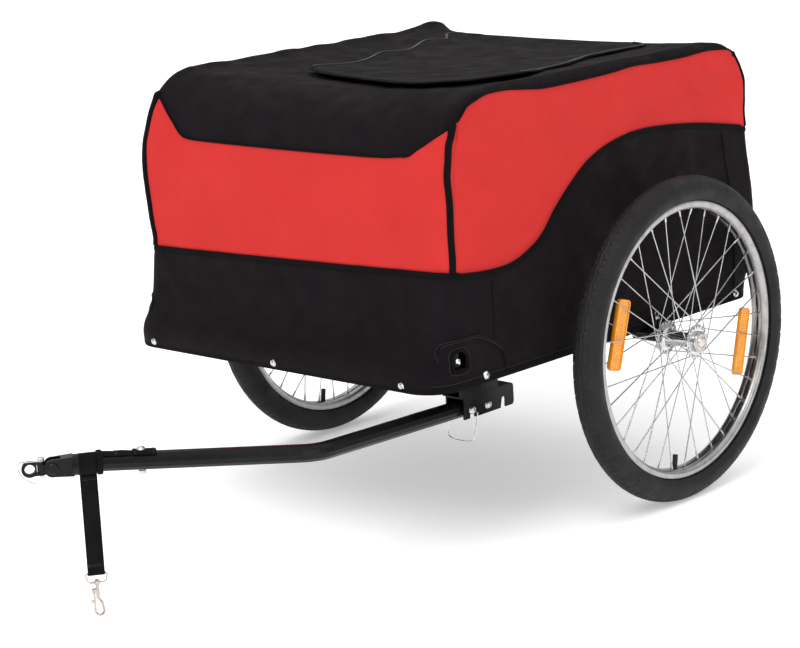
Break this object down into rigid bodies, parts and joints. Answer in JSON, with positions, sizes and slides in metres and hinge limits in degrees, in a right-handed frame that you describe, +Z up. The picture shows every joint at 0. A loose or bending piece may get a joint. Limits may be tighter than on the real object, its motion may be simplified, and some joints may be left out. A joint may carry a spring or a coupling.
{
  "type": "bicycle trailer",
  "caption": "Two-wheeled enclosed cargo trailer for a bicycle: cloth body on a tube frame, roof flap, folding tow bar with pivoting axle hitch and safety strap",
  "frame": {"origin": "on the ground, at the centre of the trailer's whole outline seen from above, level with the bottom of the tyres", "axes": "X across, positive to the trailer's left side, where the tow bar is; Y along, positive to the rear, so the hitch points to negative Y; Z up"},
  "size_m": [0.8256, 1.2462, 0.6642],
  "materials": {
    "base_frame": "satin black paint",
    "floor_cross_tube_1": "satin black paint",
    "floor_cross_tube_2": "satin black paint",
    "floor_cross_tube_3": "satin black paint",
    "side_hoop_left": "satin black paint",
    "side_hoop_right": "satin black paint",
    "roof_bar_front": "satin black paint",
    "roof_bar_rear": "satin black paint",
    "floor_panel": "plain black sheet",
    "tub": "coated woven cloth, black",
    "cover": "coated woven cloth, red",
    "roof_flap": "coated woven cloth, black",
    "hem_screw_front_1": "bright chrome plate",
    "hem_screw_front_2": "bright chrome plate",
    "hem_screw_front_3": "bright chrome plate",
    "hem_screw_left_front": "bright chrome plate",
    "hem_screw_left_rear": "bright chrome plate",
    "hem_screw_right_front": "bright chrome plate",
    "hem_screw_right_rear": "bright chrome plate",
    "hem_screw_rear_1": "bright chrome plate",
    "foot_bolt_left": "bright chrome plate",
    "foot_bolt_right": "bright chrome plate",
    "axle_bracket_left": "satin black paint",
    "axle_left": "bright chrome plate",
    "axle_plunger_left": "bright chrome plate",
    "axle_bracket_right": "satin black paint",
    "axle_right": "bright chrome plate",
    "axle_plunger_right": "bright chrome plate",
    "wheel_left_tyre": "matt black rubber",
    "wheel_left_rim": "bare satin aluminium",
    "wheel_left_inner_tube": "matt black rubber",
    "wheel_left_laced_hub": "bare satin aluminium",
    "wheel_left_reflector_front": "clear amber moulded plastic",
    "wheel_left_reflector_rear": "clear amber moulded plastic",
    "wheel_right_tyre": "matt black rubber",
    "wheel_right_rim": "bare satin aluminium",
    "wheel_right_inner_tube": "matt black rubber",
    "wheel_right_laced_hub": "bare satin aluminium",
    "wheel_right_reflector_front": "clear amber moulded plastic",
    "wheel_right_reflector_rear": "clear amber moulded plastic",
    "tow_bar_receiver": "satin black paint",
    "receiver_saddle": "satin black paint",
    "pivot_bolt": "zinc plate",
    "pivot_nut": "zinc plate",
    "tow_bar": "satin black paint",
    "lock_pin": "zinc plate",
    "lock_pin_ring": "bright chrome plate",
    "hitch_yoke": "satin black paint",
    "hitch_cross_bolt": "satin black paint",
    "hitch_knuckle": "satin black paint",
    "hitch_axle_plate": "satin black paint",
    "hitch_pin": "zinc plate",
    "hitch_pin_ring": "bright chrome plate",
    "strap_anchor": "coated woven cloth, black",
    "strap_bolt": "zinc plate",
    "strap_nut": "zinc plate",
    "safety_strap": "coated woven cloth, black",
    "strap_ring": "zinc plate",
    "snap_hook": "zinc plate",
    "snap_hook_thumb": "zinc plate"
  },
  "bodies": {
    "trailer": {"base_frame": "base_frame", "floor_cross_tube_1": "floor_cross_tube_1", "floor_cross_tube_2": "floor_cross_tube_2", "floor_cross_tube_3": "floor_cross_tube_3", "side_hoop_left": "side_hoop_left", "side_hoop_right": "side_hoop_right", "roof_bar_front": "roof_bar_front", "roof_bar_rear": "roof_bar_rear", "floor_panel": "floor_panel", "tub": "tub", "cover": "cover", "hem_screw_front_1": "hem_screw_front_1", "hem_screw_front_2": "hem_screw_front_2", "hem_screw_front_3": "hem_screw_front_3", "hem_screw_left_front": "hem_screw_left_front", "hem_screw_left_rear": "hem_screw_left_rear", "hem_screw_right_front": "hem_screw_right_front", "hem_screw_right_rear": "hem_screw_right_rear", "hem_screw_rear_1": "hem_screw_rear_1", "foot_bolt_left": "foot_bolt_left", "foot_bolt_right": "foot_bolt_right", "axle_bracket_left": "axle_bracket_left", "axle_left": "axle_left", "axle_bracket_right": "axle_bracket_right", "axle_right": "axle_right", "tow_bar_receiver": "tow_bar_receiver", "receiver_saddle": "receiver_saddle", "pivot_bolt": "pivot_bolt", "pivot_nut": "pivot_nut"},
    "wheel_left": {"wheel_left_tyre": "wheel_left_tyre", "wheel_left_rim": "wheel_left_rim", "wheel_left_inner_tube": "wheel_left_inner_tube", "wheel_left_laced_hub": "wheel_left_laced_hub", "wheel_left_reflector_front": "wheel_left_reflector_front", "wheel_left_reflector_rear": "wheel_left_reflector_rear"},
    "wheel_right": {"wheel_right_tyre": "wheel_right_tyre", "wheel_right_rim": "wheel_right_rim", "wheel_right_inner_tube": "wheel_right_inner_tube", "wheel_right_laced_hub": "wheel_right_laced_hub", "wheel_right_reflector_front": "wheel_right_reflector_front", "wheel_right_reflector_rear": "wheel_right_reflector_rear"},
    "axle_plunger_left": {"axle_plunger_left": "axle_plunger_left"},
    "axle_plunger_right": {"axle_plunger_right": "axle_plunger_right"},
    "roof_flap": {"roof_flap": "roof_flap"},
    "tow_bar": {"tow_bar": "tow_bar", "hitch_yoke": "hitch_yoke", "hitch_cross_bolt": "hitch_cross_bolt", "strap_anchor": "strap_anchor", "strap_bolt": "strap_bolt", "strap_nut": "strap_nut"},
    "lock_pin": {"lock_pin": "lock_pin"},
    "lock_pin_ring": {"lock_pin_ring": "lock_pin_ring"},
    "hitch_knuckle": {"hitch_knuckle": "hitch_knuckle"},
    "hitch_axle_plate": {"hitch_axle_plate": "hitch_axle_plate"},
    "hitch_pin": {"hitch_pin": "hitch_pin"},
    "hitch_pin_ring": {"hitch_pin_ring": "hitch_pin_ring"},
    "safety_strap": {"safety_strap": "safety_strap"},
    "strap_ring": {"strap_ring": "strap_ring"},
    "snap_hook": {"snap_hook": "snap_hook"},
    "snap_hook_thumb": {"snap_hook_thumb": "snap_hook_thumb"}
  },
  "joints": [
    {"name": "wheel_left_spin", "type": "hinge", "parent": "trailer", "child": "wheel_left", "pos_m": [0.372, 0.3561, 0.247], "axis": [1, 0, 0], "continuous": true},
    {"name": "wheel_right_spin", "type": "hinge", "parent": "trailer", "child": "wheel_right", "pos_m": [-0.372, 0.3561, 0.247], "axis": [1, 0, 0], "continuous": true},
    {"name": "axle_plunger_left_lift", "type": "slide", "parent": "trailer", "child": "axle_plunger_left", "axis": [0, 0, 1], "range_m": [0, 0.006], "stiffness_N_per_m": 500, "springref_m": -0.004},
    {"name": "axle_plunger_right_lift", "type": "slide", "parent": "trailer", "child": "axle_plunger_right", "axis": [0, 0, 1], "range_m": [0, 0.006], "stiffness_N_per_m": 500, "springref_m": -0.004},
    {"name": "roof_flap_open", "type": "hinge", "parent": "trailer", "child": "roof_flap", "pos_m": [0, 0.5291, 0.6638], "axis": [-1, 0, 0], "range_deg": [0, 150]},
    {"name": "tow_bar_fold", "type": "hinge", "parent": "trailer", "child": "tow_bar", "pos_m": [0.235, 0.0461, 0.2], "axis": [1, 0, 0], "range_deg": [0, 180]},
    {"name": "lock_pin_pull", "type": "slide", "parent": "tow_bar", "child": "lock_pin", "axis": [1, 0, 0], "range_m": [0, 0.055]},
    {"name": "lock_pin_ring_swing", "type": "hinge", "parent": "lock_pin", "child": "lock_pin_ring", "pos_m": [0.2578, 0.0111, 0.2], "axis": [1, 0, 0], "range_deg": [-45, 45]},
    {"name": "hitch_pitch", "type": "hinge", "parent": "tow_bar", "child": "hitch_knuckle", "pos_m": [0.02774, -0.57907, 0.2255], "axis": [0.8137, -0.5812, 0], "range_deg": [-35, 35]},
    {"name": "hitch_yaw", "type": "hinge", "parent": "hitch_knuckle", "child": "hitch_axle_plate", "pos_m": [0.01913, -0.59112, 0.2255], "axis": [0, 0, 1], "range_deg": [-60, 60]},
    {"name": "hitch_pin_lift", "type": "slide", "parent": "hitch_axle_plate", "child": "hitch_pin", "axis": [0, 0, 1], "range_m": [0, 0.03]},
    {"name": "hitch_pin_ring_lift", "type": "hinge", "parent": "hitch_pin", "child": "hitch_pin_ring", "pos_m": [0.01913, -0.59112, 0.23785], "axis": [-0.8137, 0.5812, 0], "range_deg": [0, 150]},
    {"name": "strap_swing", "type": "hinge", "parent": "tow_bar", "child": "safety_strap", "pos_m": [0.05459, -0.54148, 0.2255], "axis": [-0.5812, -0.8137, 0], "range_deg": [-90, 90]},
    {"name": "strap_ring_swing", "type": "hinge", "parent": "safety_strap", "child": "strap_ring", "pos_m": [0.05459, -0.54148, 0.0715], "axis": [-0.5812, -0.8137, 0], "range_deg": [-60, 60]},
    {"name": "hook_swivel", "type": "hinge", "parent": "strap_ring", "child": "snap_hook", "pos_m": [0.05459, -0.54148, 0.0585], "axis": [0, 0, 1], "continuous": true},
    {"name": "hook_thumb_pull", "type": "slide", "parent": "snap_hook", "child": "snap_hook_thumb", "axis": [0, 0, 1], "range_m": [0, 0.008], "stiffness_N_per_m": 300, "springref_m": -0.004}
  ]
}
